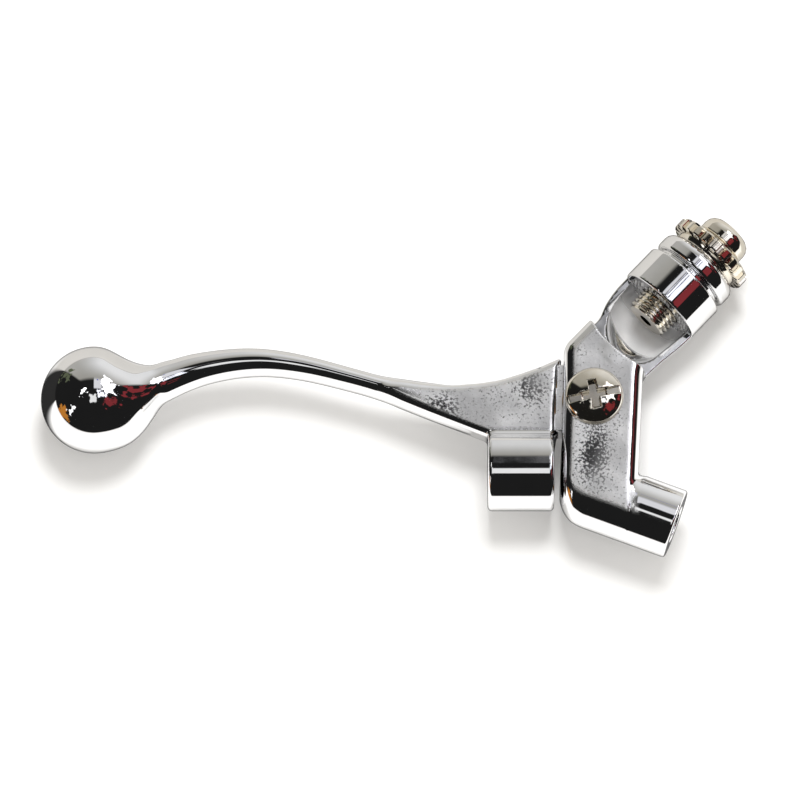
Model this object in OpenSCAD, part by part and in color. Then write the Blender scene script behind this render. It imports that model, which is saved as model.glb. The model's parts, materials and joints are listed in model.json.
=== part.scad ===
// Ball-end clutch lever on a spigot-mounted perch, with a screwed cable adjuster.
// The origin is the centre of the spigot's end face. The lever swings in the XY plane, and the
// head of the pivot screw looks along +Z. "Along the stem" is the adjuster's own axis.

/* [Lever] */
// Diameter of the ball at the end of the lever
ball_d = 23; // [20:0.1:24]
// Distance from the pivot to the centre of the ball
lever_reach = 107.3; // [104:0.1:110]
// Thickness of the flat web
web_t = 8; // [7.4:0.1:8.4]
// Thickness of the hub, which steps down from the web
hub_t = 7; // [6:0.1:7.4]
// Radius of the hub round the pivot
hub_r = 9.2; // [8:0.1:9.3]
// Radius of the stop boss beside the perch
boss_r = 8.5; // [7.5:0.1:9]
// Length of the stop boss
boss_len = 14.2; // [10:0.1:15]

/* [Perch] */
// Thickness of the perch body
body_t = 15.4; // [14.6:0.1:16]
// Width of the slot that takes the lever's hub
slot_w = 9.1; // [9.1:0.1:9.6]
// Radius of the mounting spigot
spigot_r = 7.6; // [7:0.05:7.65]
// Length of the spigot that is round all the way
spigot_len = 9; // [8:0.1:9.5]
// Angle of the spigot below the X axis, in degrees
spigot_angle = 20.5; // [18:0.5:23]
// Depth of the tapped hole in the spigot's end
spigot_thread_depth = 12; // [6:1:14]

/* [Stem] */
// Angle of the stem above the X axis, in degrees
stem_angle = 46.7; // [45:0.1:48]
// Radius of the barrel that carries the adjuster
barrel_r = 9.65; // [9:0.05:10]
// Length of the barrel
barrel_len = 8.1; // [7:0.1:9]
// Length of the open window between the perch body and the barrel
window_len = 12.5; // [11:0.1:12.5]

/* [Adjuster] */
// Radius of the adjuster's thread
thread_r = 4.9; // [4.5:0.05:5]
// Radius of the lock ring and of the knurled head
ring_r = 9.35; // [8.5:0.05:9.5]
// Number of coarse knurls round the head
knurls = 22; // [16:1:28]
// Radius of the hole for the cable's casing
casing_r = 2.6; // [2.3:0.05:2.8]

/* [Pivot] */
// Radius of the pivot screw's shank
screw_r = 3; // [2.9:0.05:3.05]
// Radius of the pivot screw's head
head_r = 6.35; // [5.8:0.05:6.5]
// Outer radius of the bush in the lever's hub
bush_r = 4; // [3.8:0.05:4.5]

/* [Hidden] */
$fn = 64;

fit = 0.05;                        // radial clearance of a running or screwed fit
over = 1;                          // how far a cut runs past the face that it opens

// Where the pivot is, seen from the centre of the spigot's end face
pivot_at = [-17.5, 26.4];
// From the pivot to the middle of the barrel's inner end
barrel_at = [14.34, 22.1];
// From the pivot to the middle of the stop boss's inner end
boss_at = [-8.6, -14.7];
// How far the ball's centre lies above the pivot, along Y
ball_rise = 1.2;

half_body = body_t / 2;
half_slot = slot_w / 2;
half_web = web_t / 2;
half_hub = hub_t / 2;
stem_neck_r = 7.7;                 // the stem's radius where it leaves the perch body
stem_dir = [cos(stem_angle), sin(stem_angle)];
stem_side = [-sin(stem_angle), cos(stem_angle)];
stem_offset = barrel_at * stem_side;   // how far the stem's axis passes from the pivot
trough_r = 7.3;                    // inside of the U-shaped window
trough_rim_z = -0.6;               // height of the window's side walls
wall_at = 13.4;                    // from the pivot to the window's end wall, along the stem
slot_wall = 4.1;                   // thickness of that wall, up to the lever's slot
slot_gap = 0.4;                    // room round the lever's hub in its slot
slot_left = 20;                    // how far the slot's left opening is cut, past the body
slot_left_top = 5;                 // top of that opening, above the pivot
slot_corner = 30;                  // how far its upper-left opening is cut, past the body
stem_root = 3;                     // the stem's length inside the perch body
stem_root_r = stem_neck_r - 0.1;
wire_r = 1.6;                      // hole that the cable's wire runs through
spigot_thread_r = 4;

// Adjuster: places along the stem, from the barrel's inner end
thread_end = -4.4;
ring_start = barrel_len + fit;
ring_neck = 1.1;
ring_neck_r = ring_r - 1.6;
ring_end = 13.55;
collar_r = ring_r - 1.9;           // between the lock ring and the knurled head
head_start = 14.9;
head_end = 18;
knurl_r = 0.85;                    // each gap between two teeth is a round groove
knurl_out = 0.15;                  // how far outside the head the groove's centre lies
nose_end = 23;
nose_r = 5.6;
nose_dome_r = 6.68;                // the nose's end is a cap of this radius
nose_dome_at = -0.2;               // the cap's centre, from the nose's inner end
nose_root = 1;                     // the ferrule stem's length inside the nose
ferrule_stem_r = 3.3;
ferrule_stem_len = 5.5;
ferrule_floor = 1.5;               // metal left under the hole for the casing

// Pivot: places along Z
head_h = 2.8;
head_dome_r = 11;
recess_len = 4.4;                  // the head's cross recess
recess_w = 1.2;
recess_depth = head_h - 1;
recess_turn = 12;
thrust_washer_t = (slot_w - hub_t) / 2 - 0.03;
thrust_washer_r = hub_r - 2.4;
spot_face = 0.6;                   // depth of the flat that the lock washer sits on
spot_face_r = head_r - 0.1;
lock_washer_t = 0.7;
lock_washer_r = 5.5;
nut_top = -half_body + spot_face - lock_washer_t;
nut_h = 3.2;
nut_flats = 10;
screw_end = -half_body - nut_h;
head_root = 1;                     // the shank's length inside the head

// Cable nipple: the pocket in the lever's underside, from the pivot
pocket_at = [-10.6, 1];
pocket_r = 3.1;
pocket_top = 2;
wire_slot_w = 2.2;

// Middle of the arm from the ball's neck to the web, from the pivot:
// x, y, half width across, half thickness along Z
ARM = [
    [-103.0, 1.1, 9.2, 9.2], [-98.5, 1.0, 8.4, 8.0], [-94.5, 3.2, 5.6, 5.3],
    [ -91.0, 5.6, 4.2, 4.4], [-84.5, 7.9, 3.6, 4.1], [-75.5, 9.4, 3.1, 4.0],
    [ -65.2, 8.8, 2.8, 3.9], [-55.0, 6.4, 2.6, 3.9], [-45.5, 3.7, 2.6, 3.9],
    [ -37.0, 1.4, 3.6, 3.8], [-33.0, 0.4, 4.0, 3.6]
];
arm_steps = 3;                     // rings in each stretch of the arm
arm_sides = 20;

// Outline of the flat web, from the pivot
WEB = [
    [-36.5, 4.9], [-29.0, 4.5], [-22.1, 4.2], [-18.7, 5.4], [-12.7, 7.9], [-6.9, 10.0],
    [-8.2, -6.8], [-10.0, -13.0], [-21.0, -13.0], [-22.1, -7.7], [-36.5, -1.9]
];
// Outline of the thinner tang that joins the web to the hub
TANG = [[-12, 7.5], [-3, 8.6], [0, 0], [-5, -6.6], [-12, -6.6]];

// Outline of the perch body's flat part, from the pivot: the left edge, the rounded shoulder,
// the window's end wall, the right edge, and the bottom edge inside the spigot's bar
shoulder_at = [-0.4, 13.2];
shoulder_r = 5.45;
shoulder = [for (a = [170 : -18.5 : 96]) shoulder_at + shoulder_r * [cos(a), sin(a)]];
spigot_dir = [cos(spigot_angle), -sin(spigot_angle)];
spigot_side = [sin(spigot_angle), cos(spigot_angle)];
spigot_end = -pivot_at;
bar_drop = 3;                      // how far the flat part reaches below the spigot's middle
bar_len = 23.9;                    // from the spigot's end face to the far end of its bar
bar_r = spigot_r - 0.2;            // the bar inside the body is a shade slimmer than the spigot
bar_tuck = 1.3;                    // the flat part's lower-left corner, from the bar's far end
bottom_left = spigot_end - (bar_len - bar_tuck) * spigot_dir - bar_drop * spigot_side;
bottom_right = spigot_end - spigot_len * spigot_dir - bar_drop * spigot_side;
half_wall = 7.65;                  // half the width of the window's end wall
PLATE = concat(
    [[-7.55, -20.5], [-6.45, 3.4], [-5.8, 13.2]],
    shoulder,
    [for (side = [1, -1]) wall_at * stem_dir + (stem_offset + side * half_wall) * stem_side],
    [[10.5, 5.2], [9.3, -18.4], bottom_right, bottom_left]
);

// Catmull-Rom curve through the rows of ARM
function arm_row(i) = ARM[min(max(i, 0), len(ARM) - 1)];
function arm_point(i, t) =
    let (a = arm_row(i - 1), b = arm_row(i), c = arm_row(i + 1), d = arm_row(i + 2))
    0.5 * (2 * b + (c - a) * t + (2 * a - 5 * b + 4 * c - d) * t * t
        + (3 * b - a - 3 * c + d) * t * t * t);
arm_rings = [
    for (i = [0 : len(ARM) - 2], k = [0 : arm_steps - 1]) arm_point(i, k / arm_steps),
    ARM[len(ARM) - 1]
];
function ring_slope(i) =
    let (a = arm_rings[max(i - 1, 0)], b = arm_rings[min(i + 1, len(arm_rings) - 1)])
    atan2(b[1] - a[1], b[0] - a[0]);
arm_points = [
    for (i = [0 : len(arm_rings) - 1], k = [0 : arm_sides - 1])
        let (row = arm_rings[i], slope = ring_slope(i), a = 360 * k / arm_sides)
        [row[0] - row[2] * cos(a) * sin(slope), row[1] + row[2] * cos(a) * cos(slope),
            row[3] * sin(a)]
];
arm_sides_faces = [
    for (i = [0 : len(arm_rings) - 2], k = [0 : arm_sides - 1])
        let (j = (k + 1) % arm_sides, a = i * arm_sides, b = a + arm_sides)
        [a + k, b + k, b + j, a + j]
];
arm_last = (len(arm_rings) - 1) * arm_sides;
arm_faces = concat(
    arm_sides_faces,
    [[for (k = [0 : arm_sides - 1]) k]],
    [[for (k = [arm_sides - 1 : -1 : 0]) arm_last + k]]
);

// Moves its children to the pivot
module at_pivot() {
    translate([pivot_at[0], pivot_at[1], 0]) children();
}

// Turns its children so that their Z axis runs along the stem, from the barrel's inner end
module on_stem() {
    at_pivot()
        translate([barrel_at[0], barrel_at[1], 0])
        rotate([0, 0, stem_angle])
        rotate([0, 90, 0])
        children();
}

// Turns its children so that their Z axis runs into the spigot from the middle of its end
module into_spigot() {
    rotate([0, 0, -spigot_angle])
        rotate([0, -90, 0])
        children();
}

// A ring or a tube of outer radius ro and inner radius ri, from z0 to z1
module tube(ro, ri, z0, z1) {
    translate([0, 0, z0]) difference() {
        cylinder(h = z1 - z0, r = ro);
        translate([0, 0, -over]) cylinder(h = z1 - z0 + 2 * over, r = ri);
    }
}

module lever_slot() {
    translate([0, 0, -half_slot]) {
        cylinder(h = slot_w, r = hub_r + slot_gap);
        rotate([0, 0, stem_angle])
            translate([-hub_r, 0, 0])
            cube([hub_r + wall_at - slot_wall, slot_corner, slot_w]);
        translate([-slot_left, -hub_r, 0]) cube([slot_left, hub_r + slot_left_top, slot_w]);
    }
}

module perch_blank() {
    at_pivot() translate([0, 0, -half_body]) linear_extrude(height = body_t) polygon(PLATE);
    into_spigot() {
        cylinder(h = spigot_len, r = spigot_r);
        cylinder(h = bar_len, r = bar_r);
    }
    on_stem() {
        translate([0, 0, -window_len - stem_root]) cylinder(h = stem_root, r = stem_root_r);
        translate([0, 0, -window_len]) cylinder(h = window_len, r1 = stem_neck_r, r2 = barrel_r);
        cylinder(h = barrel_len, r = barrel_r);
    }
}

module perch_window() {
    on_stem() translate([0, 0, -window_len]) cylinder(h = window_len, r = trough_r);
    at_pivot()
        translate([barrel_at[0], barrel_at[1], 0])
        rotate([0, 0, stem_angle])
        translate([-window_len, -barrel_r - over, trough_rim_z])
        cube([window_len, 2 * (barrel_r + over), barrel_r + over]);
}

module perch_body() {
    color("gainsboro") difference() {
        perch_blank();
        perch_window();
        at_pivot() {
            lever_slot();
            translate([0, 0, -half_body - over]) cylinder(h = body_t + 2 * over, r = screw_r + fit);
            translate([0, 0, -half_body - over]) cylinder(h = spot_face + over, r = spot_face_r);
        }
        on_stem() {
            translate([0, 0, -over]) cylinder(h = barrel_len + 2 * over, r = thread_r + fit);
            translate([0, 0, -window_len - slot_wall - over])
                cylinder(h = slot_wall + 2 * over, r = wire_r);
        }
        into_spigot() translate([0, 0, -over])
            cylinder(h = spigot_thread_depth + over, r = spigot_thread_r);
    }
}

module arm() {
    polyhedron(points = arm_points, faces = arm_faces, convexity = 4);
}

module nipple_pocket() {
    exit_at = (wall_at - slot_wall) * stem_dir + stem_offset * stem_side;
    run = exit_at - pocket_at;
    translate([pocket_at[0], pocket_at[1], -half_web - over]) {
        cylinder(h = half_web + over + pocket_top, r = pocket_r);
        rotate([0, 0, atan2(run[1], run[0])])
            translate([0, -wire_slot_w / 2, 0])
            cube([norm(run), wire_slot_w, half_web + over + wire_slot_w / 2]);
    }
}

module lever() {
    color("gainsboro") at_pivot() difference() {
        union() {
            translate([-lever_reach, ball_rise, 0]) sphere(r = ball_d / 2);
            arm();
            translate([0, 0, -half_web]) linear_extrude(height = web_t) polygon(WEB);
            translate([0, 0, -half_hub]) {
                linear_extrude(height = hub_t) polygon(TANG);
                cylinder(h = hub_t, r = hub_r);
            }
            translate([boss_at[0], boss_at[1], 0])
                rotate([0, -90, 0])
                cylinder(h = boss_len, r = boss_r);
        }
        translate([0, 0, -half_web - over]) cylinder(h = web_t + 2 * over, r = bush_r);
        nipple_pocket();
    }
}

module pivot_bush() {
    color("peru") at_pivot() tube(bush_r, screw_r + fit, -half_hub, half_hub);
}

module thrust_washers() {
    color("peru") at_pivot() for (side = [-1, 1])
        translate([0, 0, side * (half_hub + half_slot) / 2])
            tube(thrust_washer_r, screw_r + fit, -thrust_washer_t / 2, thrust_washer_t / 2);
}

module pivot_screw() {
    color("silver") at_pivot() difference() {
        union() {
            translate([0, 0, half_body]) intersection() {
                cylinder(h = head_h, r = head_r);
                translate([0, 0, head_h - head_dome_r]) sphere(r = head_dome_r);
            }
            translate([0, 0, screw_end])
                cylinder(h = half_body + head_root - screw_end, r = screw_r);
        }
        for (a = [0, 90]) rotate([0, 0, a + recess_turn])
            translate([-recess_len / 2, -recess_w / 2, half_body + head_h - recess_depth])
            cube([recess_len, recess_w, recess_depth + over]);
    }
}

module nut_lock_washer() {
    color("silver") at_pivot()
        tube(lock_washer_r, screw_r + fit, nut_top, nut_top + lock_washer_t);
}

module pivot_nut() {
    color("silver") at_pivot() difference() {
        translate([0, 0, nut_top - nut_h])
            cylinder(h = nut_h, r = nut_flats / sqrt(3), $fn = 6);
        translate([0, 0, nut_top - nut_h - over])
            cylinder(h = nut_h + 2 * over, r = screw_r + fit);
    }
}

module lock_ring() {
    color("gainsboro") on_stem() {
        tube(ring_neck_r, thread_r + fit, ring_start, ring_start + ring_neck);
        tube(ring_r, thread_r + fit, ring_start + ring_neck, ring_end);
    }
}

module adjuster_screw() {
    color("silver") on_stem() difference() {
        union() {
            translate([0, 0, thread_end]) cylinder(h = head_start - thread_end, r = thread_r);
            translate([0, 0, ring_end + fit])
                cylinder(h = head_start - ring_end - fit, r = collar_r);
            translate([0, 0, head_start]) cylinder(h = head_end - head_start, r = ring_r);
        }
        translate([0, 0, thread_end - over]) cylinder(h = nose_end, r = wire_r);
        translate([0, 0, head_end - ferrule_stem_len - fit])
            cylinder(h = ferrule_stem_len + fit + over, r = ferrule_stem_r + fit);
        for (i = [0 : knurls - 1]) rotate([0, 0, 360 * i / knurls])
            translate([ring_r + knurl_out, 0, head_start - over])
            cylinder(h = head_end - head_start + 2 * over, r = knurl_r);
    }
}

module casing_ferrule() {
    color("silver") on_stem() difference() {
        union() {
            translate([0, 0, head_end - ferrule_stem_len])
                cylinder(h = ferrule_stem_len + nose_root, r = ferrule_stem_r);
            translate([0, 0, head_end]) intersection() {
                cylinder(h = nose_end - head_end, r = nose_r);
                translate([0, 0, nose_dome_at]) sphere(r = nose_dome_r);
            }
        }
        translate([0, 0, head_end - ferrule_stem_len + ferrule_floor])
            cylinder(h = nose_end, r = casing_r);
        cylinder(h = nose_end + over, r = wire_r);
    }
}

perch_body();
lever();
pivot_bush();
thrust_washers();
pivot_screw();
nut_lock_washer();
pivot_nut();
lock_ring();
adjuster_screw();
casing_ferrule();
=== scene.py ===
"""Visual model of a chromed ball-end clutch lever on its perch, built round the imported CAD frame.

The castings are signed distance fields, meshed here and shaded with the field's own normals, so
that reflections run smoothly over their rounded edges. Lengths in the shape code are millimetres
from the lever's pivot, along the CAD axes. Meshes are written in metres in the CAD frame.
"""

import json
import math

import bpy
import numpy as np
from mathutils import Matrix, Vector


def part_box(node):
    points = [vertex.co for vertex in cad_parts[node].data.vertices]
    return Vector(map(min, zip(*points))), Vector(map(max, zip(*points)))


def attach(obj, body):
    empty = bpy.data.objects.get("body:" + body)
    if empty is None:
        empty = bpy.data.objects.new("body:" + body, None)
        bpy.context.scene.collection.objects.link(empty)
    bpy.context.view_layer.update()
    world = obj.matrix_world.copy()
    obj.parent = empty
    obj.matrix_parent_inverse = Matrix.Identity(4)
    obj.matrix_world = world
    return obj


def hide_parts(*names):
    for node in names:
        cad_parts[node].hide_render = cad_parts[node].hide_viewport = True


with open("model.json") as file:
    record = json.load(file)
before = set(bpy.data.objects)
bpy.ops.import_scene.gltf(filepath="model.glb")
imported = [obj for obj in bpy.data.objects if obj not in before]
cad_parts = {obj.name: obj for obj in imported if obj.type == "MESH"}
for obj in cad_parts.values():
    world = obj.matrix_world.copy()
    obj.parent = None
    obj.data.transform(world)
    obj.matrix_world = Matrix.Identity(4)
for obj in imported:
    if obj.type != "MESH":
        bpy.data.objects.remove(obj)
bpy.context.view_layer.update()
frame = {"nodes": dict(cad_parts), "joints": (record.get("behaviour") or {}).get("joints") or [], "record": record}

MM = 0.001
JOINTS = {j["name"]: j for j in frame["joints"]}
MOUNTS = {m["name"]: m for m in frame["record"]["mounts"]}
PIVOT = np.array(JOINTS["lever_swing"]["pos_m"])


def from_pivot(point):
    """A point of the frame, in millimetres from the pivot."""
    return (np.array(point) - PIVOT) / MM


# The mounting spigot's end face, and the stem's axis from the barrel's inner end
SPIGOT_DIR = np.array(MOUNTS["bar_spigot"]["axis"])
SPIGOT_END = from_pivot(MOUNTS["bar_spigot"]["pos_m"])
SPIGOT_R = MOUNTS["bar_spigot"]["dims"]["r_mm"]
STEM_DIR = np.array(MOUNTS["casing_socket"]["axis"])
NOSE_END = 23.0
STEM_AT = from_pivot(MOUNTS["casing_socket"]["pos_m"]) - NOSE_END * STEM_DIR

BALL_R = (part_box("lever")[1].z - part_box("lever")[0].z) / MM / 2
BALL_RISE = 1.2                    # the ball's centre above the pivot, along Y
BALL_AT = (from_pivot(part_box("lever")[0])[0] + BALL_R, BALL_RISE)
HALF_BODY = 7.7                    # half the perch body's thickness
HALF_SLOT = 4.55                   # half the width of the slot between its ears
FIT = 0.05                         # radial gap of a running or screwed fit


# ---------------------------------------------------------------- distance fields

def edge_max(a, b, r):
    """The larger of two distances, with the edge between them rounded to radius r."""
    return np.minimum(-r, np.maximum(a, b)) + np.hypot(np.maximum(a + r, 0), np.maximum(b + r, 0))


def fillet_min(a, b, r):
    """The smaller of two distances, with the corner between them filled to radius r."""
    return np.maximum(r, np.minimum(a, b)) - np.hypot(np.maximum(r - a, 0), np.maximum(r - b, 0))


def plate(flat, z, half, r):
    """An outline's distance carried along Z to half, with its rims rounded to radius r."""
    return edge_max(flat, np.abs(z) - half, r)


def outline(corners, steps=7):
    """Closed outline through corners (x, y, radius), each one turned into an arc."""
    points = []
    count = len(corners)
    for i, (x, y, r) in enumerate(corners):
        here = np.array((x, y))
        back = np.array(corners[i - 1][:2]) - here
        ahead = np.array(corners[(i + 1) % count][:2]) - here
        back /= np.linalg.norm(back)
        ahead /= np.linalg.norm(ahead)
        middle = back + ahead
        middle /= np.linalg.norm(middle)
        half = math.acos(np.clip(back @ ahead, -1, 1)) / 2
        centre = here + middle * r / math.sin(half)
        first = here + back * r / math.tan(half) - centre
        last = here + ahead * r / math.tan(half) - centre
        start = math.atan2(first[1], first[0])
        sweep = (math.atan2(last[1], last[0]) - start + math.pi) % (2 * math.pi) - math.pi
        for k in range(steps):
            a = start + sweep * k / (steps - 1)
            points.append(centre + r * np.array((math.cos(a), math.sin(a))))
    return np.array(points)


def outline_distance(x, y, points):
    """Signed distance in the XY plane to a closed outline, negative inside."""
    nearest = np.inf
    inside = np.zeros(np.broadcast(x, y).shape, bool)
    for (ax, ay), (bx, by) in zip(points, np.roll(points, -1, 0)):
        ex, ey = bx - ax, by - ay
        size = ex * ex + ey * ey
        if size < 1e-12:
            continue
        t = np.clip(((x - ax) * ex + (y - ay) * ey) / size, 0, 1)
        nearest = np.minimum(nearest, (x - ax - ex * t) ** 2 + (y - ay - ey * t) ** 2)
        if ey:
            beside = ax + (y - ay) * ex / ey
            inside ^= ((ay > y) != (by > y)) & (x < beside)
    return np.sqrt(nearest) * np.where(inside, -1, 1)


def spline(xs, ys):
    """Natural cubic spline through points, held level past its ends."""
    xs, ys = np.array(xs, float), np.array(ys, float)
    gap, last = np.diff(xs), len(xs) - 1
    matrix, right = np.eye(last + 1), np.zeros(last + 1)
    for i in range(1, last):
        matrix[i, i - 1:i + 2] = gap[i - 1], 2 * (gap[i - 1] + gap[i]), gap[i]
        right[i] = 6 * ((ys[i + 1] - ys[i]) / gap[i] - (ys[i] - ys[i - 1]) / gap[i - 1])
    bend = np.linalg.solve(matrix, right)

    def at(x):
        x = np.clip(x, xs[0], xs[-1])
        i = np.clip(np.searchsorted(xs, x) - 1, 0, last - 1)
        a, b, w = xs[i + 1] - x, x - xs[i], gap[i]
        curve = (bend[i] * a ** 3 + bend[i + 1] * b ** 3) / (6 * w)
        return curve + (ys[i] / w - bend[i] * w / 6) * a + (ys[i + 1] / w - bend[i + 1] * w / 6) * b

    return at


def along_stem(x, y):
    """Place along the stem's axis from the barrel's inner end, and distance beside it."""
    u, v = x - STEM_AT[0], y - STEM_AT[1]
    return u * STEM_DIR[0] + v * STEM_DIR[1], v * STEM_DIR[0] - u * STEM_DIR[1]


def along_spigot(x, y):
    """Place along the spigot's axis, negative inside the metal, and distance beside it."""
    u, v = x - SPIGOT_END[0], y - SPIGOT_END[1]
    return u * SPIGOT_DIR[0] + v * SPIGOT_DIR[1], v * SPIGOT_DIR[0] - u * SPIGOT_DIR[1]


# ---------------------------------------------------------------- meshing

def slope(distance, p):
    """Gradient of a distance field at points p."""
    e = 0.02
    out = np.empty_like(p)
    for axis in range(3):
        step = np.zeros(3)
        step[axis] = e
        out[:, axis] = (distance(*(p + step).T) - distance(*(p - step).T)) / (2 * e)
    return out


def settle(distance, p, reach):
    """Moves points onto the field's surface, and returns them with their unit normals."""
    for _ in range(3):
        g = slope(distance, p)
        size = np.maximum((g ** 2).sum(1), 0.05)
        move = np.clip(distance(*p.T) / size, -reach, reach)
        p = p - move[:, None] * g
    g = slope(distance, p)
    return p, g / np.maximum(np.linalg.norm(g, axis=1), 1e-6)[:, None]


def relax(p, normals, quads):
    """Evens out the spacing of the points without leaving the surface."""
    ends = np.concatenate([quads, np.roll(quads, -1, 1)]).reshape(-1)
    others = np.concatenate([np.roll(quads, -1, 1), quads]).reshape(-1)
    count = np.bincount(ends, minlength=len(p))[:, None]
    total = np.stack([np.bincount(ends, p[others, k], len(p)) for k in range(3)], 1)
    move = total / count - p
    return p + 0.5 * (move - (move * normals).sum(1)[:, None] * normals)


def net(distance, low, high, step):
    """Quads over the surface where a distance field is zero: points, normals and faces."""
    ticks = [np.arange(a - 1.5 * step, b + 2 * step, step) for a, b in zip(low, high)]
    field = distance(*np.meshgrid(*ticks, indexing="ij", sparse=True))
    size = field.shape
    faces, marks = [], []
    for axis in range(3):
        near = np.moveaxis(np.moveaxis(field, axis, 0)[:-1], 0, axis)
        far = np.moveaxis(np.moveaxis(field, axis, 0)[1:], 0, axis)
        at = np.argwhere((near < 0) != (far < 0))
        f0, f1 = near[tuple(at.T)], far[tuple(at.T)]
        mark = at.astype(float)
        mark[:, axis] += f0 / (f0 - f1)
        ring = []
        for du, dv in ((-1, -1), (0, -1), (0, 0), (-1, 0)):
            cell = at.copy()
            cell[:, (axis + 1) % 3] += du
            cell[:, (axis + 2) % 3] += dv
            ring.append(np.ravel_multi_index(cell.T, size))
        face = np.stack(ring, 1)
        face[f0 >= 0] = face[f0 >= 0][:, ::-1]
        faces.append(face)
        marks.append(np.repeat(mark, 4, 0))
    _, quads = np.unique(np.concatenate(faces), return_inverse=True)
    quads = quads.reshape(-1, 4)
    marks = np.concatenate(marks)
    count = np.bincount(quads.reshape(-1))
    p = np.stack([np.bincount(quads.reshape(-1), marks[:, k]) / count for k in range(3)], 1)
    p = p * step + np.array([t[0] for t in ticks])
    for _ in range(3):
        p, normals = settle(distance, p, step)
        p = relax(p, normals, quads)
    p, normals = settle(distance, p, step)
    return p, normals, quads


def piece(name, p, faces, body, node, finish, normals=None):
    """Makes a mesh from points in millimetres from the pivot, and puts it on its body."""
    mesh = bpy.data.meshes.new(name)
    mesh.from_pydata((p * MM + PIVOT).tolist(), [], np.asarray(faces).tolist())
    mesh.update()
    obj = bpy.data.objects.new(name, mesh)
    bpy.context.scene.collection.objects.link(obj)
    if normals is None:
        mesh.shade_smooth()
        mesh.set_sharp_from_angle(angle=math.radians(38))
    else:
        mesh.normals_split_custom_set_from_vertices(normals.tolist())
    mesh.materials.append(finish)
    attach(obj, body)
    if node:
        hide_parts(node)
    return obj


def mark(obj, name, values):
    """Stores one number per vertex for a material to read."""
    layer = obj.data.attributes.new(name, "FLOAT", "POINT")
    layer.data.foreach_set("value", values.astype(np.float32))


# ---------------------------------------------------------------- lever

# Knob and arm, cut across at x: middle y, half height along Y, half thickness along Z
ARM = [(BALL_AT[0] + u, BALL_AT[1], *[math.sqrt(BALL_R ** 2 - u ** 2)] * 2)
       for u in (-10, -8, -6, -4, -2, 0)]
ARM += [
    (-104.8, 1.10, 11.15, 11.17), (-102.2, 0.80, 10.18, 10.15), (-99.6, 0.75, 8.93, 8.7),
    (-97.1, 1.42, 7.50, 6.9), (-94.5, 3.20, 5.72, 5.3), (-92.75, 4.75, 4.72, 4.65),
    (-91.0, 5.60, 4.33, 4.4), (-88.4, 6.65, 4.06, 4.2), (-84.5, 7.90, 3.66, 4.1),
    (-80.7, 8.72, 3.38, 4.05), (-75.5, 9.37, 3.12, 4.0), (-70.4, 9.40, 2.92, 4.0),
    (-65.2, 8.80, 2.76, 3.95), (-60.1, 7.76, 2.64, 3.95), (-55.0, 6.42, 2.56, 3.95),
    (-49.75, 4.95, 2.52, 3.95), (-45.5, 3.70, 2.66, 3.97), (-42.0, 2.74, 3.05, 4.0),
    (-37.0, 1.40, 3.70, 3.9), (-32.0, 0.10, 4.20, 3.6), (-27.0, -1.20, 4.40, 3.0)
]
ARM_Y = spline([r[0] for r in ARM], [r[1] for r in ARM])
ARM_W2 = spline([r[0] for r in ARM], [r[2] ** 2 for r in ARM])
ARM_H2 = spline([r[0] for r in ARM], [r[3] ** 2 for r in ARM])

# Flat web between the arm and the perch: x, y, corner radius
WEB = outline([
    (-47.0, 3.4, 0.2), (-41.6, 4.7, 8), (-37.3, 4.15, 30), (-30.8, 3.75, 30), (-24.4, 4.25, 30),
    (-20.1, 4.95, 20), (-15.8, 6.3, 30), (-11.5, 7.85, 30), (-6.9, 9.9, 0.5), (-7.9, -6.8, 2),
    (-9.4, -13.0, 1), (-21.0, -13.0, 1), (-22.2, -7.9, 2), (-33.0, -3.6, 30), (-41.6, 0.1, 10)
])
TANG = outline([(-12, 7.5, 0.5), (-3, 8.6, 0.5), (0, 0, 1), (-5, -6.6, 1), (-12, -6.6, 1)])
HALF_WEB = 4.0
HALF_HUB = 3.5
HUB_R = 9.2
BOSS_AT = (-15.7, -14.7)           # middle of the stop boss, which lies along X
BOSS_R = 8.5
BOSS_HALF = 7.1
BUSH_R = 4.0
POCKET_AT = (-10.6, 1.0)           # the cable nipple's pocket
POCKET_R = 3.1
POCKET_TOP = 2.0
WIRE_SLOT_W = 2.2
WIRE_EXIT = 16.6                   # from the barrel's inner end back to the lever's hub
WEB_EDGE_R = 1.9
ARM_FILLET_R = 0.9                 # where the arm runs into the web
BOSS_EDGE_R = 0.9
BOSS_FILLET_R = 0.7
HUB_EDGE_R = 0.3
NET_STEP = 0.36                    # grid of the castings' meshes


def arm_distance(x, y, z):
    """Knob and arm as one smooth shape: a ball on the left that draws out into an oval arm."""
    left = x < BALL_AT[0]
    h2 = np.where(left, BALL_R ** 2 - (x - BALL_AT[0]) ** 2, ARM_H2(x))
    squeeze = np.where(left, 1, h2 / ARM_W2(x))
    size = np.where(left, BALL_R, np.sqrt(np.maximum(h2, 1)))
    oval = ((y - ARM_Y(x)) ** 2 * squeeze + z ** 2 - h2) / (2 * size)
    return np.maximum(oval, x - ARM[-1][0])


def pocket_distance(x, y, z):
    """The nipple's pocket in the lever's underside, and the slot that leads its wire out."""
    pocket = np.maximum(np.hypot(x - POCKET_AT[0], y - POCKET_AT[1]) - POCKET_R, z - POCKET_TOP)
    exit_at = STEM_AT[:2] - WIRE_EXIT * STEM_DIR[:2]
    run = exit_at - np.array(POCKET_AT)
    length = np.linalg.norm(run)
    run = run / length
    u, v = x - POCKET_AT[0], y - POCKET_AT[1]
    ahead, beside = u * run[0] + v * run[1], v * run[0] - u * run[1]
    slot = np.maximum(np.abs(beside) - WIRE_SLOT_W / 2, z - WIRE_SLOT_W / 2)
    slot = np.maximum(slot, np.maximum(-ahead, ahead - length))
    return np.minimum(pocket, slot)


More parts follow.
